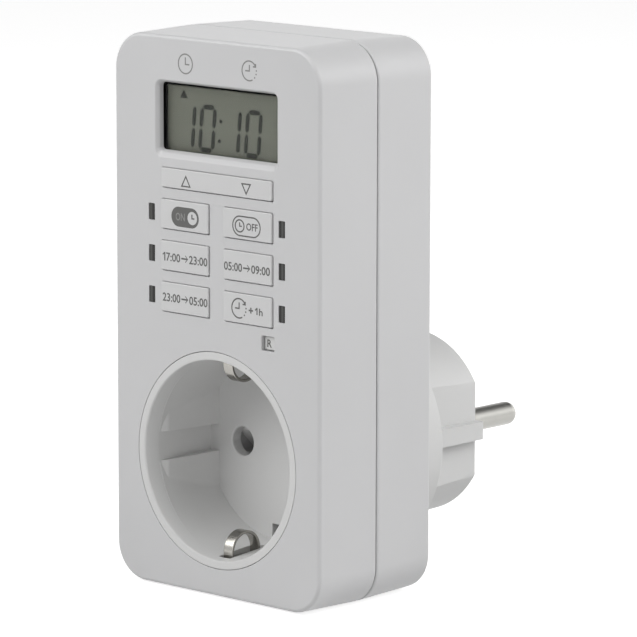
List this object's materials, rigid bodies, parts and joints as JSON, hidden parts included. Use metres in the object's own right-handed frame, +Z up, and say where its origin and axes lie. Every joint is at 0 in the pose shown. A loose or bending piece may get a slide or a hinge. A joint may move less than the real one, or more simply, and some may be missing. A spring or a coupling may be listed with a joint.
{
  "type": "plug in timer switch",
  "caption": "Plug-in timer switch: display, rocker and mode keys above an earthed socket, with an earthed round-pin plug behind, for switching a lamp or appliance by time.",
  "frame": {"origin": "centre of the plug's end face, between the two pins, where it meets the floor of a wall socket", "axes": "+Y runs into the wall along the pins, the keypad and socket face -Y, +X is to the right seen from the front, +Z is up"},
  "size_m": [0.057, 0.0792, 0.1123],
  "materials": {
    "grey_shell": "satin moulded, fine grain",
    "white_core": "satin moulded",
    "key_plastic": "satin moulded",
    "clear_window": "polished clear plastic",
    "smoked_lens": "smoked clear plastic",
    "display_glass": "display glass with an olive grey field",
    "black_plastic": "satin",
    "silicone": "matt",
    "circuit_board": "solder resist on glass fibre board",
    "zinc_steel": "zinc plated",
    "nickel_plate": "dull nickel plate",
    "contact_brass": "bare stamped brass",
    "grey_carrier": "glass filled",
    "led_package": "clear resin over a white base",
    "coil_winding": "enamelled wire",
    "relay_cover": "smooth",
    "film_yellow": "smooth",
    "sleeve_blue": "shrunk film and dipped resin",
    "resistor_green": "lacquered"
  },
  "bodies": {
    "housing": {"front_cover": "grey_shell", "rear_cover": "grey_shell", "housing_screws": "zinc_steel", "socket_cup": "white_core", "plug_body": "white_core", "core_screws": "zinc_steel", "display_window": "clear_window", "indicator_lenses": "smoked_lens", "lcd_glass": "display_glass", "lcd_frame": "black_plastic", "lcd_connectors": "silicone", "control_board": "circuit_board", "board_screws": "zinc_steel", "microcontroller": "black_plastic", "crystal": "zinc_steel", "indicator_leds": "led_package", "keypad_mat": "silicone", "carbon_pills": "black_plastic", "backup_battery": "zinc_steel", "battery_tabs": "nickel_plate", "board_link": "black_plastic", "shutter_spring": "zinc_steel", "contact_carrier": "grey_carrier", "live_contact": "contact_brass", "neutral_contact": "contact_brass", "earth_clip_upper": "nickel_plate", "earth_clip_lower": "nickel_plate", "earth_strap": "nickel_plate", "plug_earth_strips": "nickel_plate", "live_pin": "nickel_plate", "neutral_pin": "nickel_plate", "live_busbar": "contact_brass", "switched_busbar": "contact_brass", "neutral_busbar": "contact_brass", "power_board": "circuit_board", "power_screws": "zinc_steel", "relay_base": "black_plastic", "relay_case": "relay_cover", "relay_coil": "coil_winding", "relay_yoke": "zinc_steel", "relay_contacts": "contact_brass", "suppression_capacitor": "film_yellow", "smoothing_capacitor": "sleeve_blue", "varistor": "sleeve_blue", "fuse_resistor": "resistor_green", "bridge_diodes": "black_plastic"},
    "rocker": {"rocker_key": "key_plastic"},
    "key_on": {"key_on": "key_plastic"},
    "key_off": {"key_off": "key_plastic"},
    "key_evening": {"key_evening": "key_plastic"},
    "key_morning": {"key_morning": "key_plastic"},
    "key_night": {"key_night": "key_plastic"},
    "key_countdown": {"key_countdown": "key_plastic"},
    "key_reset": {"key_reset": "white_core"},
    "shutter": {"contact_shutter": "grey_carrier"},
    "armature": {"relay_armature": "zinc_steel"}
  },
  "joints": [
    {"name": "rocker_tilt", "type": "hinge", "parent": "housing", "child": "rocker", "pos_m": [0, -0.0562, 0.0552], "axis": [0, 0, 1], "range_deg": [-2.5, 2.5], "stiffness_Nm_per_rad": 0.12, "deforming": ["keypad_mat"]},
    {"name": "key_on_press", "type": "slide", "parent": "housing", "child": "key_on", "axis": [0, 1, 0], "range_m": [0, 0.0006], "stiffness_N_per_m": 700, "springref_m": -0.0003, "deforming": ["keypad_mat"]},
    {"name": "key_off_press", "type": "slide", "parent": "housing", "child": "key_off", "axis": [0, 1, 0], "range_m": [0, 0.0006], "stiffness_N_per_m": 700, "springref_m": -0.0003, "deforming": ["keypad_mat"]},
    {"name": "key_evening_press", "type": "slide", "parent": "housing", "child": "key_evening", "axis": [0, 1, 0], "range_m": [0, 0.0006], "stiffness_N_per_m": 700, "springref_m": -0.0003, "deforming": ["keypad_mat"]},
    {"name": "key_morning_press", "type": "slide", "parent": "housing", "child": "key_morning", "axis": [0, 1, 0], "range_m": [0, 0.0006], "stiffness_N_per_m": 700, "springref_m": -0.0003, "deforming": ["keypad_mat"]},
    {"name": "key_night_press", "type": "slide", "parent": "housing", "child": "key_night", "axis": [0, 1, 0], "range_m": [0, 0.0006], "stiffness_N_per_m": 700, "springref_m": -0.0003, "deforming": ["keypad_mat"]},
    {"name": "key_countdown_press", "type": "slide", "parent": "housing", "child": "key_countdown", "axis": [0, 1, 0], "range_m": [0, 0.0006], "stiffness_N_per_m": 700, "springref_m": -0.0003, "deforming": ["keypad_mat"]},
    {"name": "key_reset_press", "type": "slide", "parent": "housing", "child": "key_reset", "axis": [0, 1, 0], "range_m": [0, 0.0006], "stiffness_N_per_m": 700, "springref_m": -0.0003, "deforming": ["keypad_mat"]},
    {"name": "shutter_lift", "type": "slide", "parent": "housing", "child": "shutter", "axis": [0, 0, 1], "range_m": [0, 0.006], "stiffness_N_per_m": 80, "springref_m": -0.003, "deforming": ["shutter_spring"]},
    {"name": "armature_pull", "type": "hinge", "parent": "housing", "child": "armature", "pos_m": [-0.0013, -0.0449, 0.03885], "axis": [0, 0, 1], "range_deg": [0, 4], "stiffness_Nm_per_rad": 0.02, "springref_deg": -5.73}
  ]
}
